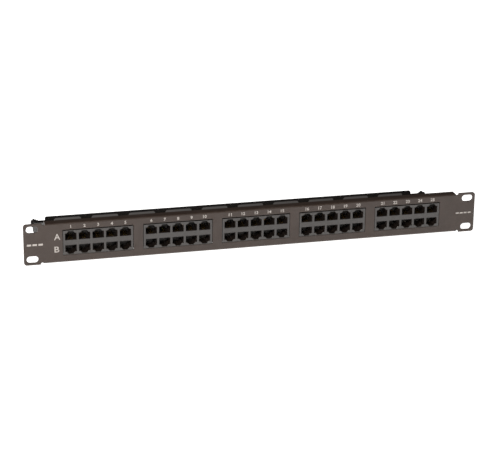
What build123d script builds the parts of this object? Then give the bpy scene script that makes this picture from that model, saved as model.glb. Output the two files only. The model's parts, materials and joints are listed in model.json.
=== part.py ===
from build123d import *
import math
import os

# 19-inch, 1U modular-jack patch panel: 50 ports in five blocks of two rows of five.
# Millimetres. +X to the right as seen from the front, +Y to the rear, +Z up.
# Origin: centre of the four rack slots, on the rear face of the front panel.

# modelling aids: how far a cutter runs past a face, and how near an edge lies to its plane
PAST = 1.0
NEAR = 0.01

# front panel, a sheet-steel pressing
PANEL_WIDTH = 482.6
PANEL_HEIGHT = 43.66
SHEET = 1.5
EAR_CORNER_RADIUS = 3.0
BODY_HALF_HEIGHT = 21.2
BEND_RADIUS = 2.0
FLANGE_DEPTH = 7.5
TOP_FLANGE_END = 219.3
BOTTOM_FLANGE_END = 221.0
NOTCH_WIDTH = 3.4
NOTCH_CENTRE_HEIGHT = 21.4
EDGE_ROUND = 0.3

# rack slots
RACK_SPACING_X = 465.12
RACK_SPACING_Z = 31.75
RACK_SLOT_LENGTH = 12.0
RACK_SLOT_WIDTH = 7.0

# windows and jack blocks
BLOCK_COUNT = 5
BLOCK_PITCH = 82.7
WINDOW_WIDTH = 72.6
WINDOW_HEIGHT = 27.0
BEZEL_RECESS = 0.2
HOUSING_WIDTH = 71.8
HOUSING_TOP = 12.5
HOUSING_BOTTOM = -13.33
LEDGE_HALF_HEIGHT = 15.2
LEDGE_FRONT = 1.6
LEDGE_REAR = 4.0

# ports: w is measured from the side that carries the contacts, towards the latch
PORT_COLUMNS = 5
PORT_PITCH = 13.97
PORT_HALF_WIDTH = 5.75
PORT_HEIGHT = 6.8
PORT_DEPTH = 14.0
PORT_MOUTH_BEVEL = 0.3
LATCH_OUTLINE = [(4.4, PORT_HEIGHT), (2.8, 8.3), (2.5, 9.1)]
ROW_A_CONTACT_SIDE = 2.47
ROW_B_CONTACT_SIDE = -3.33
CONTACT_CHANNEL_HALF_WIDTH = 2.5
CONTACT_CHANNEL_DEPTH = 1.5
CONTACT_CHANNEL_START = 0.9

# contact wires, 8P4C: four wires in each port
WIRE_COUNT = 4
WIRE_PITCH = 1.016
WIRE_WIDTH = 0.4
WIRE_THICKNESS = 0.3
HAIRPIN_Y = 1.9
HAIRPIN_W = -0.45
HAIRPIN_RADIUS = 0.45
HAIRPIN_GAP = 0.12
SPRING_SLOPE = 17.0
SPRING_LENGTH = 7.8
TIP_SLOPE = -15.0
TIP_LENGTH = 1.2

# circuit boards
BOARD_FRONT = 15.1
BOARD_THICKNESS = 1.6
BOARD_WIDTH = 82.3
BOARD_HEIGHT = 35.0
BOARD_REAR = BOARD_FRONT + BOARD_THICKNESS
WIRE_HOLE_RADIUS = 0.35
PIN_STAND_OUT = 1.2

# board fixing: M2.5 studs welded to the panel, spacer sleeves and nuts
STUD_OFFSET_X = 38.7
STUD_OFFSET_Z = 12.0
STUD_RADIUS = 1.25
STUD_CLEARANCE = 0.05
STUD_STAND_OUT = 3.5
SPACER_RADIUS = 2.25
BOARD_NUT_FLATS = 5.0
BOARD_NUT_HEIGHT = 2.0

# insulation-displacement strips, two on each board
IDC_POSITIONS = 20
IDC_PITCH = 3.4925
IDC_WIDTH = 71.8
IDC_HEIGHT = 9.4
IDC_DEPTH = 14.0
IDC_CENTRE_Z = 8.0
IDC_SLOT_WIDTH = 1.1
IDC_SLOT_DEPTH = 8.0
IDC_POCKET = (2.8, 0.8)
IDC_PIN_HOLE = (0.9, 0.8)
FORK_WIDTH = 2.5
FORK_THICKNESS = 0.5
FORK_SLIT = 0.35
FORK_SLIT_DEPTH = 5.5
FORK_BACK_OFF = 1.6
FORK_LENGTH = 7.4
FORK_PIN_WIDTH = 0.6
FORK_PIN_HOLE_RADIUS = 0.5

# side arms
ARM_OUTER = 218.6
ARM_TOP_FRONT = 19.4
ARM_FLANGE_CLEAR_Y = 8.5
ARM_REAR_TOP = -7.4
ARM_SLOPE_END_Y = 84.0
ARM_END_Y = 100.5
ARM_END_RADIUS = 3.0
ARM_BOTTOM = -21.2
ARM_TAB_INNER = 207.0
ARM_TAB_HALF_HEIGHT = 15.0
ARM_SHELF_INNER = 205.1
ARM_SHELF_START = 30.0
ARM_SHELF_END = 86.0
ARM_STUD_X = 211.6
ARM_STUD_Z = 10.0
ARM_STUD_RADIUS = 1.5
ARM_NUT_FLATS = 5.5
ARM_NUT_HEIGHT = 2.4
ARM_STUD_LENGTH = 6.0

# cable bar and its pivots
PIVOT_Y = 94.5
PIVOT_Z = -11.5
BAR_SHEET = 1.2
BAR_LIP_Y = 98.1
BAR_HALF_LENGTH = 216.8
BAR_LIP_HALF_LENGTH = 205.5
BAR_LIP_TOP = -6.3
BAR_END_TOP = -10.3
BAR_BOTTOM = -19.6
BAR_FRONT_Y = 76.0
BAR_FRONT_LIP_TOP = -14.5
BAR_EAR_RADIUS = 4.3
BAR_CORNER_RADIUS = 2.0
TIE_SLOT_COUNT = 10
TIE_SLOT_PITCH = 40.3
TIE_SLOT_LENGTH = 29.0
TIE_SLOT_HEIGHT = 5.0
TIE_SLOT_Z = -11.0
RIVET_RADIUS = 2.0
RIVET_CLEARANCE = 0.05
RIVET_HEAD_RADIUS = 3.8
RIVET_HEAD_HEIGHT = 2.4
RIVET_TAIL_RADIUS = 3.5
RIVET_TAIL_HEIGHT = 2.2


def span_box(x0, x1, y0, y1, z0, z1):
    """A box between two corners."""
    size = Box(x1 - x0, y1 - y0, z1 - z0)
    return Pos((x0 + x1) / 2, (y0 + y1) / 2, (z0 + z1) / 2) * size


def cylinder_along_y(x, z, radius, y0, y1):
    """A round bar parallel to Y."""
    bar = Rot(90, 0, 0) * Cylinder(radius, y1 - y0)
    return Pos(x, (y0 + y1) / 2, z) * bar


def cylinder_along_x(y, z, radius, x0, x1):
    """A round bar parallel to X."""
    bar = Rot(0, 90, 0) * Cylinder(radius, x1 - x0)
    return Pos((x0 + x1) / 2, y, z) * bar


def profile_along_x(points, x0, x1):
    """A closed outline of (y, z) points carried along X."""
    face = make_face(Polyline(*points, close=True))
    return Pos(x0, 0, 0) * extrude(Plane.YZ * face, amount=x1 - x0)


def hex_nut(x, z, flats, bore_radius, y0, height):
    """A nut on an axis parallel to Y, with two flats square to X."""
    outline = Rot(0, 0, 30) * RegularPolygon(flats / 2, 6, major_radius=False)
    outline -= Circle(bore_radius)
    body = extrude(outline, amount=height)
    return Pos(x, y0 + height, z) * Rot(90, 0, 0) * body


def block_centres():
    middle = (BLOCK_COUNT - 1) / 2
    return [(index - middle) * BLOCK_PITCH for index in range(BLOCK_COUNT)]


def port_columns():
    middle = (PORT_COLUMNS - 1) / 2
    return [(index - middle) * PORT_PITCH for index in range(PORT_COLUMNS)]


def wire_offsets():
    middle = (WIRE_COUNT - 1) / 2
    return [(index - middle) * WIRE_PITCH for index in range(WIRE_COUNT)]


def idc_columns():
    middle = (IDC_POSITIONS - 1) / 2
    return [(index - middle) * IDC_PITCH for index in range(IDC_POSITIONS)]


def rows():
    """Each row's name, the height of its contact side, and the way from there to the latch."""
    return [("a", ROW_A_CONTACT_SIDE, 1), ("b", ROW_B_CONTACT_SIDE, -1)]


# ---------------------------------------------------------------- front panel

def folded_flange(end_x):
    """The top flange with its bend; the bottom one is its mirror image."""
    bend_centre = (BEND_RADIUS - SHEET, BODY_HALF_HEIGHT - BEND_RADIUS)
    inner_radius = BEND_RADIUS - SHEET
    diagonal = math.sqrt(0.5)
    low = (-SHEET, bend_centre[1])
    outer_mid = (bend_centre[0] - BEND_RADIUS * diagonal, bend_centre[1] + BEND_RADIUS * diagonal)
    outer_end = (bend_centre[0], BODY_HALF_HEIGHT)
    rear_top = (FLANGE_DEPTH, BODY_HALF_HEIGHT)
    rear_low = (FLANGE_DEPTH, BODY_HALF_HEIGHT - SHEET)
    inner_end = (bend_centre[0], BODY_HALF_HEIGHT - SHEET)
    inner_mid = (bend_centre[0] - inner_radius * diagonal, bend_centre[1] + inner_radius * diagonal)
    inner_low = (0, bend_centre[1])
    outline = ThreePointArc(low, outer_mid, outer_end) + Polyline(outer_end, rear_top, rear_low, inner_end)
    outline += ThreePointArc(inner_end, inner_mid, inner_low)
    outline += Line(inner_low, low)
    return extrude(Plane.YZ * make_face(outline), amount=end_x, both=True)


def rack_slot(x, z):
    straight = RACK_SLOT_LENGTH - RACK_SLOT_WIDTH
    radius = RACK_SLOT_WIDTH / 2
    slot = span_box(-straight / 2, straight / 2, -3 * SHEET, SHEET, -radius, radius)
    for side in (-1, 1):
        slot += cylinder_along_y(side * straight / 2, 0, radius, -3 * SHEET, SHEET)
    return Pos(x, 0, z) * slot


def relief_notch(x, direction):
    """Bend relief between an ear and a flange, open at the edge."""
    radius = NOTCH_WIDTH / 2
    z = direction * NOTCH_CENTRE_HEIGHT
    notch = cylinder_along_y(x, z, radius, -3 * SHEET, SHEET)
    top = direction * PANEL_HEIGHT
    notch += span_box(x - radius, x + radius, -3 * SHEET, SHEET, min(z, top), max(z, top))
    return notch


def panel_plate():
    """The flat face of the panel: two full-height ears and the lower strip between the flanges."""
    half_width = PANEL_WIDTH / 2
    half_height = PANEL_HEIGHT / 2
    plate = span_box(-half_width, half_width, -SHEET, 0, -half_height, half_height)
    corners = plate.edges().filter_by(Axis.Y)
    plate = fillet(corners, EAR_CORNER_RADIUS)
    strip_top = BODY_HALF_HEIGHT - BEND_RADIUS
    plate -= span_box(-TOP_FLANGE_END, TOP_FLANGE_END, -2 * SHEET, SHEET, strip_top, PANEL_HEIGHT)
    plate -= span_box(-BOTTOM_FLANGE_END, BOTTOM_FLANGE_END, -2 * SHEET, SHEET, -PANEL_HEIGHT, -strip_top)
    cuts = []
    for side in (-1, 1):
        cuts.append(relief_notch(side * (TOP_FLANGE_END + NOTCH_WIDTH / 2), 1))
        cuts.append(relief_notch(side * (BOTTOM_FLANGE_END + NOTCH_WIDTH / 2), -1))
        for level in (-1, 1):
            cuts.append(rack_slot(side * RACK_SPACING_X / 2, level * RACK_SPACING_Z / 2))
    for x in block_centres():
        cuts.append(Pos(x, 0, 0) * Box(WINDOW_WIDTH, 4 * SHEET, WINDOW_HEIGHT))
    plate -= cuts
    return round_front_edges(plate)


def round_front_edges(plate):
    """Soften the punched edges of the windows and rack slots, as the powder coat does."""
    front_edges = plate.edges().filter_by(lambda edge: abs(edge.center().Y + SHEET) < NEAR)
    window_edges = front_edges.filter_by(lambda edge: abs(edge.center().Z) <= WINDOW_HEIGHT / 2 + NEAR)
    window_edges = window_edges.filter_by(lambda edge: abs(edge.center().X) < ARM_TAB_INNER)
    slot_inner = RACK_SPACING_X / 2 - RACK_SLOT_LENGTH / 2 - NEAR
    slot_outer = RACK_SPACING_X / 2 + RACK_SLOT_LENGTH / 2 + NEAR
    slot_low = RACK_SPACING_Z / 2 - RACK_SLOT_WIDTH / 2 - NEAR
    slot_high = RACK_SPACING_Z / 2 + RACK_SLOT_WIDTH / 2 + NEAR
    slot_edges = front_edges.filter_by(lambda edge: slot_inner < abs(edge.center().X) < slot_outer)
    slot_edges = slot_edges.filter_by(lambda edge: slot_low < abs(edge.center().Z) < slot_high)
    return fillet(window_edges + slot_edges, EDGE_ROUND)


def front_panel():
    flange = folded_flange(TOP_FLANGE_END)
    lower_flange = mirror(folded_flange(BOTTOM_FLANGE_END), about=Plane.XY)
    return panel_plate() + flange + lower_flange


# ---------------------------------------------------------------- jack blocks

def port_cavity(direction):
    """One port, mouth on the front plane, contact side at z = 0 and latch towards +z or -z."""
    right = [(PORT_HALF_WIDTH, 0), (PORT_HALF_WIDTH, PORT_HEIGHT)] + LATCH_OUTLINE
    left = [(-x, w) for x, w in reversed(right)]
    outline = [(x, direction * w) for x, w in right + left]
    face = make_face(Polyline(*outline, close=True))
    mouth_y = -SHEET + BEZEL_RECESS
    cavity = Pos(0, mouth_y + PORT_DEPTH, 0) * extrude(Plane.XZ * face, amount=PORT_DEPTH)
    channel_floor = -direction * CONTACT_CHANNEL_DEPTH
    cavity += span_box(
        -CONTACT_CHANNEL_HALF_WIDTH, CONTACT_CHANNEL_HALF_WIDTH,
        CONTACT_CHANNEL_START, BOARD_FRONT + PAST,
        min(0, channel_floor), max(0, channel_floor))
    return cavity


def jack_block():
    """A moulded housing with ten ports and a ledge above and below, set back behind the window."""
    half_width = HOUSING_WIDTH / 2
    mouth_y = -SHEET + BEZEL_RECESS
    block = span_box(-half_width, half_width, mouth_y, BOARD_FRONT, HOUSING_BOTTOM, HOUSING_TOP)
    block += span_box(-half_width, half_width, LEDGE_FRONT, LEDGE_REAR, -LEDGE_HALF_HEIGHT, LEDGE_HALF_HEIGHT)
    cavities = []
    for x in port_columns():
        for _, contact_side, direction in rows():
            cavities.append(Pos(x, 0, contact_side) * port_cavity(direction))
    block -= cavities
    mouth_edges = block.edges().filter_by(lambda edge: abs(edge.center().Y - mouth_y) < NEAR)
    mouth_edges = mouth_edges.filter_by(lambda edge: edge.center().Z < HOUSING_TOP - NEAR)
    mouth_edges = mouth_edges.filter_by(lambda edge: edge.center().Z > HOUSING_BOTTOM + NEAR)
    mouth_edges = mouth_edges.filter_by(lambda edge: abs(edge.center().X) < half_width - NEAR)
    return chamfer(mouth_edges, PORT_MOUTH_BEVEL)


# ---------------------------------------------------------------- contact wires

def along(point, angle, distance):
    """The point at a distance from another, at an angle in degrees."""
    turn = math.radians(angle)
    return (point[0] + distance * math.cos(turn), point[1] + distance * math.sin(turn))


def spring_outline():
    """The free spring arm of a contact wire in (y, w): hairpin, sloping arm and turned-down tip."""
    centre = (HAIRPIN_Y, HAIRPIN_W)
    half = WIRE_THICKNESS / 2
    outer = HAIRPIN_RADIUS + half
    inner = HAIRPIN_RADIUS - half
    arc_end = 90 + SPRING_SLOPE
    arm_start = along(centre, arc_end, HAIRPIN_RADIUS)
    crown = along(arm_start, SPRING_SLOPE, SPRING_LENGTH)
    tip = along(crown, TIP_SLOPE, TIP_LENGTH)
    crown_normal = (SPRING_SLOPE + TIP_SLOPE) / 2 + 90
    mitre = half / math.cos(math.radians((SPRING_SLOPE - TIP_SLOPE) / 2))
    outer_path = [
        along(centre, arc_end, outer),
        along(crown, crown_normal, mitre),
        along(tip, TIP_SLOPE + 90, half),
        along(tip, TIP_SLOPE - 90, half),
        along(crown, crown_normal, -mitre),
        along(centre, arc_end, inner)]
    outer_arc = (along(centre, -90, outer), along(centre, 180, outer), outer_path[0])
    inner_arc = (outer_path[-1], along(centre, 180, inner), along(centre, -90, inner))
    return outer_arc, outer_path, inner_arc


def spring_arm(contact_side, direction):
    """One spring arm, centred on x = 0."""
    outer_arc, path, inner_arc = spring_outline()

    def place(point):
        return (point[0], contact_side + direction * point[1])

    outline = ThreePointArc(*[place(point) for point in outer_arc])
    outline += Polyline(*[place(point) for point in path])
    outline += ThreePointArc(*[place(point) for point in inner_arc])
    outline += Line(place(inner_arc[-1]), place(outer_arc[0]))
    return extrude(Plane.YZ * make_face(outline), amount=WIRE_WIDTH / 2, both=True)


def contact_springs(contact_side, direction):
    """The spring arms of one row of five ports."""
    arm = spring_arm(contact_side, direction)
    return [Pos(x + offset, 0, 0) * arm for x in port_columns() for offset in wire_offsets()]


def contact_tails():
    """The straight, soldered ends of all the contact wires of one block."""
    half = WIRE_THICKNESS / 2
    start = HAIRPIN_Y + HAIRPIN_GAP
    end = BOARD_REAR + PIN_STAND_OUT
    tails = []
    for _, contact_side, direction in rows():
        z = contact_side + direction * (HAIRPIN_W - HAIRPIN_RADIUS)
        for x in port_columns():
            for offset in wire_offsets():
                left = x + offset - WIRE_WIDTH / 2
                tails.append(span_box(left, left + WIRE_WIDTH, start, end, z - half, z + half))
    return tails


# ---------------------------------------------------------------- boards and strips

def stud_places():
    """Stud centres of one block, about the block's own centre."""
    return [(x * STUD_OFFSET_X, z * STUD_OFFSET_Z) for x in (-1, 1) for z in (-1, 1)]


def circuit_board():
    half_width = BOARD_WIDTH / 2
    half_height = BOARD_HEIGHT / 2
    board = span_box(-half_width, half_width, BOARD_FRONT, BOARD_REAR, -half_height, half_height)
    holes = []
    for x, z in stud_places():
        holes.append((x, z, STUD_RADIUS + STUD_CLEARANCE))
    for _, contact_side, direction in rows():
        z = contact_side + direction * (HAIRPIN_W - HAIRPIN_RADIUS)
        for x in port_columns():
            for offset in wire_offsets():
                holes.append((x + offset, z, WIRE_HOLE_RADIUS))
    for x in idc_columns():
        for side in (-1, 1):
            holes.append((x, side * IDC_CENTRE_Z, FORK_PIN_HOLE_RADIUS))
    return board - [cylinder_along_y(x, z, r, BOARD_FRONT - PAST, BOARD_REAR + PAST) for x, z, r in holes]


def idc_strip():
    """A strip with twenty wire slots, centred on z = 0."""
    half_width = IDC_WIDTH / 2
    half_height = IDC_HEIGHT / 2
    rear = BOARD_REAR + IDC_DEPTH
    strip = span_box(-half_width, half_width, BOARD_REAR, rear, -half_height, half_height)
    rear_edges = strip.edges().filter_by(lambda edge: abs(edge.center().Y - rear) < NEAR)
    strip = chamfer(rear_edges.filter_by(Axis.X), IDC_SLOT_WIDTH)
    cuts = []
    pocket_floor = rear - FORK_BACK_OFF - FORK_LENGTH - FORK_SLIT
    for x in idc_columns():
        slot = (x - IDC_SLOT_WIDTH / 2, x + IDC_SLOT_WIDTH / 2)
        cuts.append(span_box(*slot, rear - IDC_SLOT_DEPTH, rear + PAST, -IDC_HEIGHT, IDC_HEIGHT))
        pocket = (x - IDC_POCKET[0] / 2, x + IDC_POCKET[0] / 2)
        cuts.append(span_box(*pocket, pocket_floor, rear + PAST, -IDC_POCKET[1] / 2, IDC_POCKET[1] / 2))
        hole = (x - IDC_PIN_HOLE[0] / 2, x + IDC_PIN_HOLE[0] / 2)
        cuts.append(span_box(*hole, BOARD_FRONT, rear, -IDC_PIN_HOLE[1] / 2, IDC_PIN_HOLE[1] / 2))
    return strip - cuts


def idc_fork():
    """A forked contact blade with a solder pin, centred on x = 0 and z = 0."""
    rear = BOARD_REAR + IDC_DEPTH - FORK_BACK_OFF
    half = FORK_WIDTH / 2
    base = rear - FORK_LENGTH
    pin_end = BOARD_FRONT
    mouth = FORK_SLIT / 2 + FORK_THICKNESS
    outline = [
        (-half, base), (-half, rear), (-mouth, rear),
        (-FORK_SLIT / 2, rear - 2 * FORK_THICKNESS), (-FORK_SLIT / 2, rear - FORK_SLIT_DEPTH),
        (FORK_SLIT / 2, rear - FORK_SLIT_DEPTH), (FORK_SLIT / 2, rear - 2 * FORK_THICKNESS),
        (mouth, rear), (half, rear), (half, base),
        (FORK_PIN_WIDTH / 2, base), (FORK_PIN_WIDTH / 2, pin_end),
        (-FORK_PIN_WIDTH / 2, pin_end), (-FORK_PIN_WIDTH / 2, base)]
    face = make_face(Polyline(*outline, close=True))
    return extrude(face, amount=FORK_THICKNESS / 2, both=True)


def idc_forks():
    fork = idc_fork()
    return [Pos(x, 0, side * IDC_CENTRE_Z) * fork for x in idc_columns() for side in (-1, 1)]


def board_hardware():
    """Studs, spacer sleeves and nuts of every block, as three lists of solids."""
    studs = []
    spacers = []
    nuts = []
    bore = STUD_RADIUS + STUD_CLEARANCE
    for centre in block_centres():
        for offset, z in stud_places():
            x = centre + offset
            studs.append(cylinder_along_y(x, z, STUD_RADIUS, 0, BOARD_REAR + STUD_STAND_OUT))
            sleeve = cylinder_along_y(x, z, SPACER_RADIUS, 0, BOARD_FRONT)
            spacers.append(sleeve - cylinder_along_y(x, z, bore, -PAST, BOARD_FRONT + PAST))
            nuts.append(hex_nut(x, z, BOARD_NUT_FLATS, bore, BOARD_REAR, BOARD_NUT_HEIGHT))
    return studs, spacers, nuts


# ---------------------------------------------------------------- side arms

def arm_plate():
    """The upright plate of the right arm."""
    inner = ARM_OUTER - SHEET
    outline = [
        (0, -ARM_TOP_FRONT), (0, ARM_TOP_FRONT), (ARM_FLANGE_CLEAR_Y, ARM_TOP_FRONT),
        (ARM_SLOPE_END_Y, ARM_REAR_TOP), (ARM_END_Y, ARM_REAR_TOP), (ARM_END_Y, ARM_BOTTOM),
        (ARM_FLANGE_CLEAR_Y, ARM_BOTTOM), (ARM_FLANGE_CLEAR_Y, -ARM_TOP_FRONT)]
    plate = profile_along_x(outline, inner, ARM_OUTER)
    rear_corners = plate.edges().filter_by(Axis.X).filter_by(lambda edge: edge.center().Y > ARM_END_Y - NEAR)
    return fillet(rear_corners, ARM_END_RADIUS)


def side_arm():
    """The right arm: upright plate, front tab behind the panel and a shelf under the cable bar."""
    inner = ARM_OUTER - SHEET
    arm = arm_plate()
    arm += span_box(ARM_TAB_INNER, ARM_OUTER, 0, SHEET, -ARM_TAB_HALF_HEIGHT, ARM_TAB_HALF_HEIGHT)
    shelf_top = ARM_BOTTOM + SHEET
    arm += span_box(ARM_SHELF_INNER, ARM_OUTER, ARM_SHELF_START, ARM_SHELF_END, ARM_BOTTOM, shelf_top)
    for z in (-ARM_STUD_Z, ARM_STUD_Z):
        arm -= cylinder_along_y(ARM_STUD_X, z, ARM_STUD_RADIUS + STUD_CLEARANCE, -PAST, SHEET + PAST)
    hole = RIVET_RADIUS + RIVET_CLEARANCE
    arm -= cylinder_along_x(PIVOT_Y, PIVOT_Z, hole, inner - PAST, ARM_OUTER + PAST)
    return arm


def arm_hardware():
    """Welded studs and nuts that hold the arms' front tabs."""
    studs = []
    nuts = []
    for x in (-ARM_STUD_X, ARM_STUD_X):
        for z in (-ARM_STUD_Z, ARM_STUD_Z):
            studs.append(cylinder_along_y(x, z, ARM_STUD_RADIUS, 0, ARM_STUD_LENGTH))
            bore = ARM_STUD_RADIUS + STUD_CLEARANCE
            nuts.append(hex_nut(x, z, ARM_NUT_FLATS, bore, SHEET, ARM_NUT_HEIGHT))
    return studs, nuts


# ---------------------------------------------------------------- cable bar

def tie_slot(x):
    """A long slot with round ends through the bar's upright lip."""
    radius = TIE_SLOT_HEIGHT / 2
    straight = TIE_SLOT_LENGTH / 2 - radius
    y0 = BAR_LIP_Y - PAST
    y1 = BAR_LIP_Y + BAR_SHEET + PAST
    slot = span_box(x - straight, x + straight, y0, y1, TIE_SLOT_Z - radius, TIE_SLOT_Z + radius)
    for side in (-1, 1):
        slot += cylinder_along_y(x + side * straight, TIE_SLOT_Z, radius, y0, y1)
    return slot


def bar_lip():
    """The slotted upright at the rear of the bar, stepped down at both ends."""
    y1 = BAR_LIP_Y + BAR_SHEET
    lip = span_box(-BAR_HALF_LENGTH, BAR_HALF_LENGTH, BAR_LIP_Y, y1, BAR_BOTTOM, BAR_END_TOP)
    upper = span_box(
        -BAR_LIP_HALF_LENGTH, BAR_LIP_HALF_LENGTH, BAR_LIP_Y, y1, BAR_BOTTOM, BAR_LIP_TOP)
    top_corners = upper.edges().filter_by(Axis.Y).filter_by(lambda edge: edge.center().Z > BAR_END_TOP)
    lip += fillet(top_corners, BAR_CORNER_RADIUS)
    middle = (TIE_SLOT_COUNT - 1) / 2
    return lip - [tie_slot((index - middle) * TIE_SLOT_PITCH) for index in range(TIE_SLOT_COUNT)]


def bar_ear(side):
    """A pivot ear folded forward from the lip at one end of the bar."""
    x0 = side * BAR_HALF_LENGTH
    x1 = side * (BAR_HALF_LENGTH - BAR_SHEET)
    low, high = min(x0, x1), max(x0, x1)
    ear = cylinder_along_x(PIVOT_Y, PIVOT_Z, BAR_EAR_RADIUS, low, high)
    front = PIVOT_Y - BAR_EAR_RADIUS
    ear += span_box(low, high, front, BAR_LIP_Y + BAR_SHEET, BAR_BOTTOM, PIVOT_Z)
    hole = RIVET_RADIUS + RIVET_CLEARANCE
    return ear - cylinder_along_x(PIVOT_Y, PIVOT_Z, hole, low - PAST, high + PAST)


def cable_bar():
    """A slotted channel across the rear that the cables are tied to."""
    floor_half = BAR_HALF_LENGTH - BAR_SHEET
    rear = BAR_LIP_Y + BAR_SHEET
    bar = bar_lip()
    bar += span_box(-floor_half, floor_half, BAR_FRONT_Y, rear, BAR_BOTTOM, BAR_BOTTOM + BAR_SHEET)
    front_end = BAR_FRONT_Y + BAR_SHEET
    bar += span_box(-floor_half, floor_half, BAR_FRONT_Y, front_end, BAR_BOTTOM, BAR_FRONT_LIP_TOP)
    for side in (-1, 1):
        bar += bar_ear(side)
    return bar


def pivot_rivet(side):
    """A shouldered rivet through an arm and the bar's ear."""
    tail_start = BAR_HALF_LENGTH - BAR_SHEET
    tail_end = tail_start - RIVET_TAIL_HEIGHT
    head_end = ARM_OUTER + RIVET_HEAD_HEIGHT
    rivet = cylinder_along_x(PIVOT_Y, PIVOT_Z, RIVET_RADIUS, tail_end, head_end)
    head = cylinder_along_x(PIVOT_Y, PIVOT_Z, RIVET_HEAD_RADIUS, ARM_OUTER, head_end)
    rim = head.edges().filter_by(GeomType.CIRCLE).sort_by(Axis.X)[-1:]
    rivet += fillet(rim, RIVET_HEAD_HEIGHT / 2)
    rivet += cylinder_along_x(PIVOT_Y, PIVOT_Z, RIVET_TAIL_RADIUS, tail_end, tail_start)
    return rivet if side > 0 else mirror(rivet, about=Plane.YZ)


def friction_washer(side):
    """The washer between an arm and the bar's ear."""
    inner = BAR_HALF_LENGTH
    outer = ARM_OUTER - SHEET
    washer = cylinder_along_x(PIVOT_Y, PIVOT_Z, RIVET_HEAD_RADIUS, inner, outer)
    hole = RIVET_RADIUS + RIVET_CLEARANCE
    washer -= cylinder_along_x(PIVOT_Y, PIVOT_Z, hole, inner - PAST, outer + PAST)
    return washer if side > 0 else mirror(washer, about=Plane.YZ)


# ---------------------------------------------------------------- nodes

def group(solids):
    """Several separate solids as one node."""
    return Compound(children=[solid.solid() for solid in solids])


def all_nodes():
    nodes = {"front_panel": front_panel()}
    block = jack_block()
    tails = contact_tails()
    board = circuit_board()
    strip = idc_strip()
    forks = idc_forks()
    for index, x in enumerate(block_centres(), start=1):
        place = Pos(x, 0, 0)
        nodes[f"jack_block_{index}"] = place * block
        nodes[f"contact_tails_{index}"] = group([place * tail for tail in tails])
        nodes[f"circuit_board_{index}"] = place * board
        nodes[f"idc_strip_upper_{index}"] = place * Pos(0, 0, IDC_CENTRE_Z) * strip
        nodes[f"idc_strip_lower_{index}"] = place * Pos(0, 0, -IDC_CENTRE_Z) * strip
        nodes[f"idc_forks_{index}"] = group([place * fork for fork in forks])
    for row, contact_side, direction in rows():
        springs = contact_springs(contact_side, direction)
        for index, x in enumerate(block_centres(), start=1):
            nodes[f"contact_springs_{row}{index}"] = group([Pos(x, 0, 0) * spring for spring in springs])
    studs, spacers, nuts = board_hardware()
    nodes["board_studs"] = group(studs)
    nodes["board_spacers"] = group(spacers)
    nodes["board_nuts"] = group(nuts)
    arm = side_arm()
    nodes["side_arm_right"] = arm
    nodes["side_arm_left"] = mirror(arm, about=Plane.YZ)
    studs, nuts = arm_hardware()
    nodes["arm_studs"] = group(studs)
    nodes["arm_nuts"] = group(nuts)
    nodes["cable_bar"] = cable_bar()
    nodes["pivot_rivets"] = group([pivot_rivet(-1), pivot_rivet(1)])
    nodes["friction_washers"] = group([friction_washer(-1), friction_washer(1)])
    return nodes


os.makedirs("parts", exist_ok=True)
for name, shape in all_nodes().items():
    export_step(shape, f"parts/{name}.step")
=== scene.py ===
import json
import math

import bmesh
import bpy
from mathutils import Matrix, Vector


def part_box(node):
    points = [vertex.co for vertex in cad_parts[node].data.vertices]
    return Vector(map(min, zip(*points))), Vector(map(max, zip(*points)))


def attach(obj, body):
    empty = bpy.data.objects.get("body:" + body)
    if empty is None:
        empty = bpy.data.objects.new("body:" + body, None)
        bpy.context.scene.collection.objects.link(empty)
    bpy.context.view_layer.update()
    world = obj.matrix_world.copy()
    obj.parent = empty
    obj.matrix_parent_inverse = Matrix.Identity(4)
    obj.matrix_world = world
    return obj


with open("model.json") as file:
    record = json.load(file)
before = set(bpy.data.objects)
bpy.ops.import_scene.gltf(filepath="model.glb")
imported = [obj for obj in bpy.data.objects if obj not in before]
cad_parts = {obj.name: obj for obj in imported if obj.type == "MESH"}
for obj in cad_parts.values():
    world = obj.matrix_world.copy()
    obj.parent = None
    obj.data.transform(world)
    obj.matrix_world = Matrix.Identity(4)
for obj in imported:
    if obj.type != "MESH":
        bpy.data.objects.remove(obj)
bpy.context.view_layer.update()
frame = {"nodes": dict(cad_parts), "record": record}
MM = 0.001

# ---------------------------------------------------------------- places read from the frame

PANEL_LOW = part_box("front_panel")[0]
FACE_Y = PANEL_LOW.y
BLOCKS = range(1, 6)
BLOCK_X = {k: sum(corner.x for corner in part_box(f"jack_block_{k}")) / 2 for k in BLOCKS}
BOARD_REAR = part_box("circuit_board_3")[1].y
STRIP_LOW, STRIP_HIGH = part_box("idc_strip_upper_3")
TAILS_LOW, TAILS_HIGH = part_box("contact_tails_3")

PORT_PITCH = 13.97 * MM
WIRE_PITCH = 1.016 * MM
WIRE_THICKNESS = 0.3 * MM
IDC_PITCH = 3.4925 * MM
IDC_COUNT = 20
COLUMN_COUNT = 5
WIRE_COUNT = 4
COLUMNS = [(index - (COLUMN_COUNT - 1) / 2) * PORT_PITCH for index in range(COLUMN_COUNT)]
WIRES = [(index - (WIRE_COUNT - 1) / 2) * WIRE_PITCH for index in range(WIRE_COUNT)]
IDC_X = [(index - (IDC_COUNT - 1) / 2) * IDC_PITCH for index in range(IDC_COUNT)]
TAIL_Z = {"a": TAILS_HIGH.z - WIRE_THICKNESS / 2, "b": TAILS_LOW.z + WIRE_THICKNESS / 2}


# ---------------------------------------------------------------- shader helpers

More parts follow.
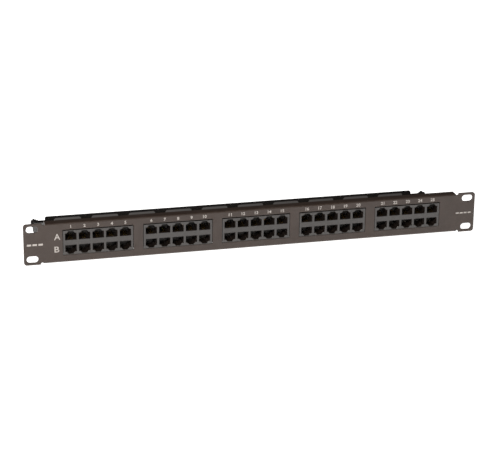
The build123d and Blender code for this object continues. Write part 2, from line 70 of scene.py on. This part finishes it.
class Shader:
    """A material with a Principled shader and short calls for the nodes around it."""

    def __init__(self, name, color, roughness, metallic=0.0):
        self.material = bpy.data.materials.new(name)
        self.material.use_nodes = True
        self.tree = self.material.node_tree
        self.tree.nodes.clear()
        self.bsdf = self.tree.nodes.new("ShaderNodeBsdfPrincipled")
        output = self.tree.nodes.new("ShaderNodeOutputMaterial")
        self.tree.links.new(self.bsdf.outputs["BSDF"], output.inputs["Surface"])
        self.bsdf.inputs["Base Color"].default_value = (*color, 1)
        self.bsdf.inputs["Roughness"].default_value = roughness
        self.bsdf.inputs["Metallic"].default_value = metallic
        self.coordinates = self.tree.nodes.new("ShaderNodeTexCoord").outputs["Object"]

    def node(self, kind, inputs=None, **settings):
        made = self.tree.nodes.new(kind)
        for key, value in settings.items():
            setattr(made, key, value)
        for key, value in (inputs or {}).items():
            if isinstance(value, bpy.types.NodeSocket):
                self.tree.links.new(value, made.inputs[key])
            else:
                made.inputs[key].default_value = value
        return made

    def noise(self, scale, detail=2.0, stretch=None):
        vector = self.coordinates
        if stretch:
            inputs = {"Vector": vector, "Scale": stretch}
            vector = self.node("ShaderNodeMapping", inputs).outputs["Vector"]
        inputs = {"Vector": vector, "Scale": scale, "Detail": detail}
        return self.node("ShaderNodeTexNoise", inputs).outputs["Fac"]

    def spread(self, value, low, high, out_low=0.0, out_high=1.0):
        """A value remapped from low..high to out_low..out_high, and held there."""
        inputs = {"Value": value, "From Min": low, "From Max": high, "To Min": out_low, "To Max": out_high}
        return self.node("ShaderNodeMapRange", inputs).outputs["Result"]

    def math(self, operation, first, second=0.0):
        return self.node("ShaderNodeMath", {0: first, 1: second}, operation=operation).outputs[0]

    def mix_color(self, factor, first, second):
        inputs = {"Factor": factor, "A": first, "B": second}
        made = self.node("ShaderNodeMix", data_type="RGBA")
        for key, value in inputs.items():
            socket = next(s for s in made.inputs if s.name == key and s.enabled)
            if isinstance(value, bpy.types.NodeSocket):
                self.tree.links.new(value, socket)
            else:
                socket.default_value = value
        return next(s for s in made.outputs if s.enabled)

    def edge_mask(self, radius):
        """The normal with edges rounded off, and a mask: near 1 at sharp edges and 0 on flat stretches."""
        rounded = self.node("ShaderNodeBevel", {"Radius": radius}, samples=4).outputs["Normal"]
        normal = self.node("ShaderNodeNewGeometry").outputs["Normal"]
        inputs = {0: rounded, 1: normal}
        dot = self.node("ShaderNodeVectorMath", inputs, operation="DOT_PRODUCT").outputs["Value"]
        return rounded, self.spread(dot, 0.995, 0.80)

    def bump(self, height, strength, distance, normal=None):
        inputs = {"Height": height, "Strength": strength, "Distance": distance}
        if normal:
            inputs["Normal"] = normal
        return self.node("ShaderNodeBump", inputs).outputs["Normal"]

    def link(self, socket, name):
        self.tree.links.new(socket, self.bsdf.inputs[name])

    def sheen_of_face(self, ior, level):
        """How strongly the surface mirrors its surroundings."""
        self.bsdf.inputs["IOR"].default_value = ior
        self.bsdf.inputs["Specular IOR Level"].default_value = level
        return self


def shade(color, factor):
    return tuple(min(1.0, channel * factor) for channel in color) + (1,)


# ---------------------------------------------------------------- materials

COAT_EDGE = 0.35 * MM
MOULDED_EDGE = 0.5 * MM  # this and COAT_EDGE: how far in from an edge it looks rounded and worn
MOULDED_IOR = 1.65
MOULDED_GLOSS = 0.75


def powder_coat(name, color, worn, roughness, gloss):
    """Fine-textured powder coat on steel: grain, faint clouding, thin worn edges."""
    shader = Shader(name, color, roughness)
    clouds = shader.noise(45, 4)
    grain = shader.noise(2600, 2)
    speck = shader.noise(900, 1)
    rounded, edge = shader.edge_mask(COAT_EDGE)
    base = shader.mix_color(shader.spread(clouds, 0.3, 0.7), shade(color, 0.90), shade(color, 1.10))
    base = shader.mix_color(shader.spread(speck, 0.60, 0.75, 0, 0.35), base, shade(color, 1.6))
    scuffs = shader.math("MULTIPLY", edge, shader.spread(shader.noise(160, 3), 0.45, 0.65, 0.15, 0.8))
    base = shader.mix_color(scuffs, base, (*worn, 1))
    shader.link(base, "Base Color")
    polish = shader.spread(shader.noise(120, 3), 0.3, 0.7, roughness - 0.06, roughness + 0.07)
    shader.link(polish, "Roughness")
    shader.link(shader.bump(grain, 0.35, 0.06 * MM, rounded), "Normal")
    return shader.sheen_of_face(*gloss).material


def moulded_plastic(name, color, roughness=0.45, grain_scale=3800, worn=1.35):
    """Moulded plastic with a fine spark-eroded texture and slightly polished edges."""
    shader = Shader(name, color, roughness)
    rounded, edge = shader.edge_mask(MOULDED_EDGE)
    flow = shader.noise(70, 3, (1.0, 0.4, 1.6))
    base = shader.mix_color(shader.spread(flow, 0.3, 0.7), shade(color, 0.93), shade(color, 1.07))
    base = shader.mix_color(shader.math("MULTIPLY", edge, 0.5), base, shade(color, worn))
    shader.link(base, "Base Color")
    polish = shader.spread(shader.noise(400, 2), 0.3, 0.7, roughness - 0.05, roughness + 0.06)
    shader.link(polish, "Roughness")
    shader.link(shader.bump(shader.noise(grain_scale, 2), 0.25, 0.03 * MM, rounded), "Normal")
    return shader.sheen_of_face(MOULDED_IOR, MOULDED_GLOSS).material


def plated_metal(name, color, roughness, stretch, tarnish=0.75, scale=900):
    """Plated metal with fine drawn lines along one axis and faint tarnish."""
    shader = Shader(name, color, roughness, 1.0)
    lines = shader.noise(scale, 3, stretch)
    cloud = shader.noise(260, 3)
    base = shader.mix_color(shader.spread(cloud, 0.35, 0.7), (*color, 1), shade(color, tarnish))
    shader.link(base, "Base Color")
    shader.link(shader.spread(lines, 0.3, 0.7, roughness - 0.08, roughness + 0.12), "Roughness")
    shader.link(shader.bump(lines, 0.15, 0.02 * MM), "Normal")
    return shader.material


def solder_mask(name, color):
    """Green solder mask over glass cloth: the weave shows faintly through a glossy coat."""
    shader = Shader(name, color, 0.28)
    inputs = {"Vector": shader.coordinates, "Scale": 520.0, "Distortion": 0.4}
    weave_x = shader.node("ShaderNodeTexWave", inputs, bands_direction="X").outputs["Fac"]
    weave_z = shader.node("ShaderNodeTexWave", inputs, bands_direction="Z").outputs["Fac"]
    weave = shader.math("MULTIPLY", weave_x, weave_z)
    tone = shader.mix_color(shader.spread(weave, 0.0, 1.0, 0.0, 0.55), (*color, 1), shade(color, 1.5))
    tone = shader.mix_color(shader.spread(shader.noise(90, 3), 0.35, 0.7, 0, 0.4), tone, shade(color, 0.7))
    shader.link(tone, "Base Color")
    shader.link(shader.spread(shader.noise(300, 2), 0.3, 0.7, 0.2, 0.36), "Roughness")
    shader.link(shader.bump(weave, 0.12, 0.02 * MM), "Normal")
    return shader.material


def solder(name):
    """Bright solder with the slightly grainy skin it sets with."""
    shader = Shader(name, (0.66, 0.66, 0.66), 0.28, 1.0)
    skin = shader.noise(2400, 3)
    shader.link(shader.spread(skin, 0.3, 0.7, 0.18, 0.42), "Roughness")
    shader.link(shader.mix_color(skin, (0.74, 0.74, 0.74, 1), (0.50, 0.50, 0.52, 1)), "Base Color")
    shader.link(shader.bump(skin, 0.3, 0.03 * MM), "Normal")
    return shader.material


def screen_ink(name, color, thin=0.72):
    """Screen-printed ink: slightly uneven cover over the grain below."""
    shader = Shader(name, color, 0.55)
    cover = shader.spread(shader.noise(1500, 3), 0.35, 0.6)
    shader.link(shader.mix_color(cover, shade(color, thin), (*color, 1)), "Base Color")
    shader.link(shader.spread(shader.noise(600, 2), 0.3, 0.7, 0.48, 0.66), "Roughness")
    shader.link(shader.bump(shader.noise(2600, 2), 0.3, 0.04 * MM), "Normal")
    return shader.material


# Linear colours. A coat has its colour, the colour of its worn edges, its roughness, and its gloss as an
# index of refraction and a specular level.
MATERIALS = {
    "panel_coat": powder_coat(
        "panel_coat", (0.036, 0.0220, 0.0155), (0.12, 0.11, 0.10), 0.5, (1.55, 0.55)
    ),
    "bracket_coat": powder_coat(
        "bracket_coat", (0.009, 0.008, 0.0075), (0.06, 0.055, 0.05), 0.65, (1.45, 0.3)
    ),
    "jack_plastic": moulded_plastic("jack_plastic", (0.0100, 0.0055, 0.0036), worn=1.8),
    "gold_plate": plated_metal("gold_plate", (0.95, 0.68, 0.28), 0.24, (1.0, 0.05, 1.0), 0.8),
    "board_laminate": solder_mask("board_laminate", (0.008, 0.085, 0.028)),
    "strip_plastic": moulded_plastic("strip_plastic", (0.66, 0.63, 0.55), 0.42, 3000, 1.1),
    "tin_plate": plated_metal("tin_plate", (0.70, 0.69, 0.66), 0.34, (1.0, 0.08, 1.0)),
    "zinc_plate": plated_metal("zinc_plate", (0.72, 0.72, 0.70), 0.3, (0.6, 1.0, 0.6), 0.8, 1400),
}
SOLDER = solder("solder")
TRACK_MASK = solder_mask("track_mask", (0.014, 0.15, 0.05))
LEGEND_INK = screen_ink("legend_ink", (0.52, 0.49, 0.46))
BOARD_INK = screen_ink("board_ink", (0.70, 0.70, 0.66))
PAIR_INKS = [
    screen_ink("pair_blue", (0.02, 0.10, 0.45)),
    screen_ink("pair_orange", (0.75, 0.22, 0.02)),
    screen_ink("pair_green", (0.03, 0.28, 0.06)),
    screen_ink("pair_brown", (0.16, 0.07, 0.03)),
]


def paint_cad_nodes():
    """Each CAD node gets the material that the record names for it."""
    for row in frame["record"]["subparts"]:
        node = frame["nodes"][row["node"]]
        material = MATERIALS[row["material_slot"]]
        if not node.material_slots:
            node.data.materials.append(material)
        for held in node.material_slots:
            held.material = material


# ---------------------------------------------------------------- mesh helpers

INK_THICKNESS = 0.015 * MM
CAPITAL_SHARE = 0.73  # a capital's height as a share of the font's size


def mesh_piece(name, bm, materials, body):
    """A finished piece from a bmesh, riding on a CAD body."""
    bmesh.ops.recalc_face_normals(bm, faces=bm.faces)
    mesh = bpy.data.meshes.new(name)
    bm.to_mesh(mesh)
    bm.free()
    for material in materials:
        mesh.materials.append(material)
    piece = bpy.data.objects.new(name, mesh)
    bpy.context.scene.collection.objects.link(piece)
    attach(piece, body)
    return piece


def add_slab(bm, outline, y0, y1, material_index=0):
    """A flat closed shape: an outline of (x, z) points between two depths."""
    near = [bm.verts.new((x, y0, z)) for x, z in outline]
    far = [bm.verts.new((x, y1, z)) for x, z in outline]
    faces = [bm.faces.new(near), bm.faces.new(list(reversed(far)))]
    count = len(outline)
    for index in range(count):
        after = (index + 1) % count
        faces.append(bm.faces.new((near[index], far[index], far[after], near[after])))
    for face in faces:
        face.material_index = material_index


def rectangle(x, z, width, height):
    """The corners of an upright rectangle about (x, z)."""
    left, right = x - width / 2, x + width / 2
    low, high = z - height / 2, z + height / 2
    return [(left, low), (right, low), (right, high), (left, high)]


def add_lathe(bm, x, z, profile, sides):
    """A shape turned about an axis parallel to Y, from (y, radius) points; closed at both ends."""
    rings = []
    for y, radius in profile:
        turn = [math.tau * index / sides for index in range(sides)]
        rings.append([bm.verts.new((x + radius * math.cos(a), y, z + radius * math.sin(a))) for a in turn])
    for ring, above in zip(rings, rings[1:]):
        for index in range(sides):
            after = (index + 1) % sides
            face = bm.faces.new((ring[index], ring[after], above[after], above[index]))
            face.smooth = True
    bm.faces.new(rings[0])
    bm.faces.new(rings[-1])


def text_mesh(words, height, weight):
    """Plain sans lettering as a solid mesh lying in XY; weight thickens its strokes."""
    curve = bpy.data.curves.new("lettering", "FONT")
    curve.body = words
    curve.size = height / CAPITAL_SHARE
    curve.align_x = "CENTER"
    curve.align_y = "CENTER"
    curve.offset = weight
    curve.extrude = INK_THICKNESS
    curve.resolution_u = 4
    holder = bpy.data.objects.new("lettering", curve)
    bpy.context.scene.collection.objects.link(holder)
    bpy.context.view_layer.update()
    mesh = bpy.data.meshes.new_from_object(holder)
    bpy.data.objects.remove(holder)
    bpy.data.curves.remove(curve)
    return mesh


def add_text(bm, words, height, x, y, z, weight=0.0, facing=1, stretch=1.0):
    """Lettering on a face that looks towards -Y (facing 1) or +Y (facing -1)."""
    mesh = text_mesh(words, height, weight)
    low = Vector([min(v.co[axis] for v in mesh.vertices) for axis in range(3)])
    high = Vector([max(v.co[axis] for v in mesh.vertices) for axis in range(3)])
    centre = (low + high) / 2
    scale = Matrix.Diagonal((stretch * height / (high.y - low.y), height / (high.y - low.y), 1, 1))
    stand = Matrix.Rotation(math.radians(90), 4, "X")
    turn = Matrix.Rotation(math.radians(0 if facing > 0 else 180), 4, "Z")
    mesh.transform(Matrix.Translation((x, y, z)) @ turn @ stand @ scale @ Matrix.Translation(-centre))
    bm.from_mesh(mesh)
    bpy.data.meshes.remove(mesh)


# ---------------------------------------------------------------- printed legends

LEGEND_WEIGHT = 0.1 * MM
NUMBER_HEIGHT = 3.3 * MM
NUMBER_STRETCH = 1.05
NUMBER_Z = 16.8 * MM
LETTER_HEIGHT = 6.3 * MM
# Each row letter's centre and how far it is stretched sideways.
ROW_LETTERS = {"A": (-207.3 * MM, 6.5 * MM, 1.0), "B": (-207.8 * MM, -6.9 * MM, 1.12)}
# The printed bars of each ear: the middle of the row, its length, its height and the number of bars.
EAR_MARKS = [(-230.0 * MM, 17.6 * MM, 1.9 * MM, 3), (228.9 * MM, 18.0 * MM, 1.4 * MM, 4)]
EAR_MARK_Z = -0.4 * MM
EAR_BAR_SHARE = 0.76


def port_number(block, column):
    return (block - 1) * COLUMN_COUNT + column + 1


def port_numbers():
    """Numbers 1 to 25, one over each column of ports."""
    bm = bmesh.new()
    for block in BLOCKS:
        for column, offset in enumerate(COLUMNS):
            words = str(port_number(block, column))
            x = BLOCK_X[block] + offset
            add_text(bm, words, NUMBER_HEIGHT, x, FACE_Y, NUMBER_Z, LEGEND_WEIGHT, stretch=NUMBER_STRETCH)
    mesh_piece("legend_port_numbers", bm, [LEGEND_INK], "chassis")


def row_letters():
    """A for the upper row and B for the lower, left of the first block."""
    bm = bmesh.new()
    for letter, (x, z, stretch) in ROW_LETTERS.items():
        add_text(bm, letter, LETTER_HEIGHT, x, FACE_Y, z, LEGEND_WEIGHT, stretch=stretch)
    mesh_piece("legend_row_letters", bm, [LEGEND_INK], "chassis")


def ear_marks():
    """A plain row of printed bars on each ear, with no lettering."""
    bm = bmesh.new()
    for centre, length, height, bars in EAR_MARKS:
        step = length / bars
        for index in range(bars):
            x = centre + (index - (bars - 1) / 2) * step
            outline = rectangle(x, EAR_MARK_Z, step * EAR_BAR_SHARE, height)
            add_slab(bm, outline, FACE_Y - INK_THICKNESS, FACE_Y + INK_THICKNESS)
    mesh_piece("legend_ear_marks", bm, [LEGEND_INK], "chassis")


# ---------------------------------------------------------------- circuit board detail

# A solder fillet: shares of the pin's height above the board, each with a radius in millimetres.
FILLET = [(0.0, 0.46), (0.1, 0.42), (0.28, 0.31), (0.5, 0.26), (0.72, 0.25), (0.9, 0.2)]
FILLET_SIDES = 12
TRACK_WIDTH = 0.35 * MM
TRACK_RISE = 0.04 * MM
TRACK_START = 0.5 * MM  # from the pin's axis to the track's end
TRACK_LEAD = 0.35 * MM  # the straight stretch before the step to the side
TRACK_UNDER_STRIP = 0.6 * MM  # how far a track runs in under the strip
TRACK_SHIFT = 1.1 * MM  # twice the widest step to the side
TRACK_STRAIGHT = 0.1 * MM  # below this shift a track has no step
PRINT_RISE = 0.03 * MM
PRINT_LINE = 0.15 * MM
PRINT_GAP = 0.35 * MM
LABEL_HEIGHT = 1.6 * MM
LABEL_GAP = 2.4 * MM
LABEL_WEIGHT = 0.02 * MM
PAIR_MARK_HEIGHT = 1.5 * MM
PAIR_MARK_MARGIN = 1.5 * MM
PAIR_MARK_Z = 2.55 * MM
PAIR_MARK_RISE = 0.04 * MM


def solder_profile(pin_end):
    """A concave solder fillet round a pin, from the board up to the pin's end."""
    rise = pin_end - BOARD_REAR
    return [(BOARD_REAR + share * rise, radius * MM) for share, radius in FILLET]


def solder_joints(block):
    """The fillets of the jack pins, in two rows of twenty between the strips."""
    bm = bmesh.new()
    profile = solder_profile(TAILS_HIGH.y)
    for z in TAIL_Z.values():
        for column in COLUMNS:
            for offset in WIRES:
                add_lathe(bm, BLOCK_X[block] + column + offset, z, profile, FILLET_SIDES)
    mesh_piece(f"solder_joints_{block}", bm, [SOLDER], "chassis")


def add_ribbon(bm, points, width, y0, y1):
    """A flat track through (x, z) points, with mitred corners."""
    left, right = [], []
    for index, point in enumerate(points):
        here = Vector(point)
        before = Vector(points[index - 1]) if index else None
        after = Vector(points[index + 1]) if index + 1 < len(points) else None
        ways = [(here - before).normalized()] if before else []
        ways += [(after - here).normalized()] if after else []
        way = sum(ways, Vector((0, 0))).normalized()
        side = Vector((-way.y, way.x)) * (width / 2) / max(0.5, way.dot(ways[0]))
        left.append(tuple(here + side))
        right.append(tuple(here - side))
    add_slab(bm, left + list(reversed(right)), y0, y1)


def track_points(x, start, edge, direction, jog):
    """From a pin straight out, a sloping step to the side, and straight on to the strip."""
    bend = start + direction * TRACK_LEAD
    return [(x, start), (x, bend), (x + jog, bend + direction * abs(jog)), (x + jog, edge)]


def board_tracks(block):
    """Copper tracks under the mask, from each jack pin out to the nearer strip."""
    bm = bmesh.new()
    tips = sorted(column + offset for column in COLUMNS for offset in WIRES)
    for row, direction in (("a", 1), ("b", -1)):
        start = TAIL_Z[row] + direction * TRACK_START
        edge = direction * (STRIP_LOW.z + TRACK_UNDER_STRIP)
        for tip, target in zip(tips, IDC_X):
            shift = max(-TRACK_SHIFT, min(TRACK_SHIFT, target - tip))
            x = BLOCK_X[block] + tip
            points = track_points(x, start, edge, direction, shift / 2)
            if abs(shift) < TRACK_STRAIGHT:
                points = [(x, start), (x, edge)]
            add_ribbon(bm, points, TRACK_WIDTH, BOARD_REAR, BOARD_REAR + TRACK_RISE)
    mesh_piece(f"board_tracks_{block}", bm, [TRACK_MASK], "chassis")


def board_printing(block):
    """White component printing: port numbers outside the strips and lines along the strips."""
    bm = bmesh.new()
    centre = BLOCK_X[block]
    y0, y1 = BOARD_REAR, BOARD_REAR + PRINT_RISE
    for sign in (-1, 1):
        for z in (STRIP_LOW.z - PRINT_GAP, STRIP_HIGH.z + PRINT_GAP):
            add_slab(bm, rectangle(centre, sign * z, STRIP_HIGH.x * 2, PRINT_LINE), y0, y1)
    for column, offset in enumerate(COLUMNS):
        words = str(port_number(block, column))
        for sign in (-1, 1):
            z = sign * (STRIP_HIGH.z + LABEL_GAP)
            add_text(bm, words, LABEL_HEIGHT, centre + offset, y1, z, LABEL_WEIGHT, facing=-1)
    mesh_piece(f"board_printing_{block}", bm, [BOARD_INK], "chassis")


def pair_marks(block):
    """Colour marks on the strips' rear posts, one colour for each pair of positions."""
    bm = bmesh.new()
    for sign in (-1, 1):
        z_centre = sign * (STRIP_LOW.z + STRIP_HIGH.z) / 2
        for index in range(IDC_COUNT // 2):
            x = BLOCK_X[block] + (IDC_X[2 * index] + IDC_X[2 * index + 1]) / 2
            for offset in (-PAIR_MARK_Z, PAIR_MARK_Z):
                outline = rectangle(x, z_centre + offset, IDC_PITCH - PAIR_MARK_MARGIN, PAIR_MARK_HEIGHT)
                ink = index % len(PAIR_INKS)
                add_slab(bm, outline, STRIP_HIGH.y, STRIP_HIGH.y + PAIR_MARK_RISE, ink)
    mesh_piece(f"pair_marks_{block}", bm, PAIR_INKS, "chassis")


# ---------------------------------------------------------------- camera, floor and lights

CAMERA_AZIMUTH = math.radians(-15.009)
CAMERA_ELEVATION = math.radians(19.570)
CAMERA_ROLL = math.radians(0.824)
CAMERA_DISTANCE = 1.7696
CAMERA_TARGET = Vector((-6.75 * MM, FACE_Y, 3.80 * MM))
CAMERA_LENS = 123.18
SENSOR_WIDTH = 36
VIEW_END = 100
FLOOR_REACH = 12.0  # metres each way
FLOOR_GAP = 0.3 * MM
PAPER = (0.9, 0.9, 0.9)
PAPER_ROUGHNESS = 0.9
PAPER_GLOW = (1, 1, 1, 1)
# Painted shadow: the dark paper colour and the dim glow of the patch behind the cable bar, dimmer towards
# the right.
SHADED_PAPER = (0.02, 0.02, 0.02, 1)
SHADE_GLOW_LEFT = (0.062, 0.057, 0.054, 1)
SHADE_GLOW_RIGHT = (0.032, 0.028, 0.026, 1)
# The painted shadow: a dark grey patch on the floor below and behind the cable bar, so that the tie slots
# show grey from the camera's view.
SHADE_LEFT = -194 * MM
SHADE_RIGHT = 216 * MM
SHADE_FRONT = 88 * MM
SHADE_FRONT_EDGE = 14 * MM
SHADE_REAR = 139.5 * MM
SHADE_SIDE_EDGE = 3.5 * MM
SHADE_REAR_EDGE = 3 * MM
WORLD_LIGHT = 0.03  # the world's strength as a light
WORLD_IN_VIEW = 1.0  # and as the background that the view sees
WHITE = (1.0, 1.0, 1.0)
WARM_WHITE = (1.0, 0.93, 0.87)


def photograph_camera():
    """The view: from the left and above, with a long lens."""
    azimuth, roll = CAMERA_AZIMUTH, CAMERA_ROLL
    flat = math.cos(CAMERA_ELEVATION)
    back = Vector((math.sin(azimuth) * flat, -math.cos(azimuth) * flat, math.sin(CAMERA_ELEVATION)))
    level = Vector((math.cos(azimuth), math.sin(azimuth), 0))
    upright = back.cross(level)
    right = math.cos(roll) * level + math.sin(roll) * upright
    up = -math.sin(roll) * level + math.cos(roll) * upright
    data = bpy.data.cameras.new("camera")
    data.lens = CAMERA_LENS
    data.sensor_width = SENSOR_WIDTH
    data.clip_end = VIEW_END
    camera = bpy.data.objects.new("camera", data)
    turn = Matrix((right, up, back)).transposed().to_4x4()
    camera.matrix_world = Matrix.Translation(CAMERA_TARGET + back * CAMERA_DISTANCE) @ turn
    bpy.context.scene.collection.objects.link(camera)
    bpy.context.scene.camera = camera


def shade_mask(shader, axes):
    """A soft-edged painted shadow on the floor, below the cable bar and a short way behind it."""
    left = shader.spread(axes["X"], SHADE_LEFT - SHADE_SIDE_EDGE, SHADE_LEFT + SHADE_SIDE_EDGE)
    right = shader.spread(axes["X"], SHADE_RIGHT + SHADE_SIDE_EDGE, SHADE_RIGHT - SHADE_SIDE_EDGE)
    front = shader.spread(axes["Y"], SHADE_FRONT - SHADE_FRONT_EDGE, SHADE_FRONT + SHADE_FRONT_EDGE)
    rear = shader.spread(axes["Y"], SHADE_REAR + SHADE_REAR_EDGE, SHADE_REAR - SHADE_REAR_EDGE)
    across = shader.math("MULTIPLY", left, right)
    along = shader.math("MULTIPLY", front, rear)
    return shader.math("MULTIPLY", across, along)


def floor_paper():
    """Paper that gives off an even white, except in a painted shadow: a grey patch below and behind the
    cable bar.
    """
    shader = Shader("floor_paper", PAPER, PAPER_ROUGHNESS)
    axes = shader.node("ShaderNodeSeparateXYZ", {"Vector": shader.coordinates}).outputs
    mask = shade_mask(shader, axes)
    share = shader.spread(axes["X"], SHADE_LEFT, SHADE_RIGHT)
    dim = shader.mix_color(share, SHADE_GLOW_LEFT, SHADE_GLOW_RIGHT)
    # Inside the mask the paper is painted as shadow: a dark colour and a dim glow in place of the white.
    shader.link(shader.mix_color(mask, (*PAPER, 1), SHADED_PAPER), "Base Color")
    shader.link(shader.mix_color(mask, PAPER_GLOW, dim), "Emission Color")
    shader.bsdf.inputs["Emission Strength"].default_value = 1.0
    return shader.material


def pale_floor():
    """A wide floor just below the panel's lower edge."""
    bm = bmesh.new()
    level = PANEL_LOW.z - FLOOR_GAP
    reach = FLOOR_REACH
    corners = [(-reach, -reach), (reach, -reach), (reach, reach), (-reach, reach)]
    bm.faces.new([bm.verts.new((x, y, level)) for x, y in corners])
    mesh = bpy.data.meshes.new("floor")
    bm.to_mesh(mesh)
    bm.free()
    mesh.materials.append(floor_paper())
    floor = bpy.data.objects.new("floor", mesh)
    bpy.context.scene.collection.objects.link(floor)


def soft_light(name, place, size, power, color):
    """A soft box at a place, turned to the object."""
    data = bpy.data.lights.new(name, "AREA")
    data.shape = "RECTANGLE"
    data.size, data.size_y = size
    data.energy = power
    data.color = color
    light = bpy.data.objects.new(name, data)
    light.location = place
    light.rotation_euler = (-Vector(place)).to_track_quat("-Z", "Y").to_euler()
    bpy.context.scene.collection.objects.link(light)


def dim_world_with_white_view():
    """White where the view meets the world past the floor's end, and almost no light from it."""
    world = bpy.data.worlds.new("studio")
    world.use_nodes = True
    background = world.node_tree.nodes["Background"]
    background.inputs["Color"].default_value = (1, 1, 1, 1)
    seen = world.node_tree.nodes.new("ShaderNodeLightPath").outputs["Is Camera Ray"]
    strength = world.node_tree.nodes.new("ShaderNodeMapRange")
    strength.inputs["To Min"].default_value = WORLD_LIGHT
    strength.inputs["To Max"].default_value = WORLD_IN_VIEW
    world.node_tree.links.new(seen, strength.inputs["Value"])
    world.node_tree.links.new(strength.outputs["Result"], background.inputs["Strength"])
    bpy.context.scene.world = world
    bpy.context.scene.view_settings.view_transform = "Standard"


def studio():
    """The camera, the floor, three soft boxes and the world."""
    photograph_camera()
    pale_floor()
    soft_light("key", place=(-1.25, -1.7, 1.3), size=(1.0, 0.7), power=42, color=WARM_WHITE)
    soft_light("rear", place=(-1.6, 1.1, 0.5), size=(1.0, 0.7), power=16, color=WHITE)
    soft_light("side", place=(1.9, 0.4, 0.9), size=(0.8, 0.8), power=9, color=WHITE)
    dim_world_with_white_view()


# ---------------------------------------------------------------- the whole scene

paint_cad_nodes()
port_numbers()
row_letters()
ear_marks()
for block in BLOCKS:
    solder_joints(block)
    board_tracks(block)
    board_printing(block)
    pair_marks(block)
studio()
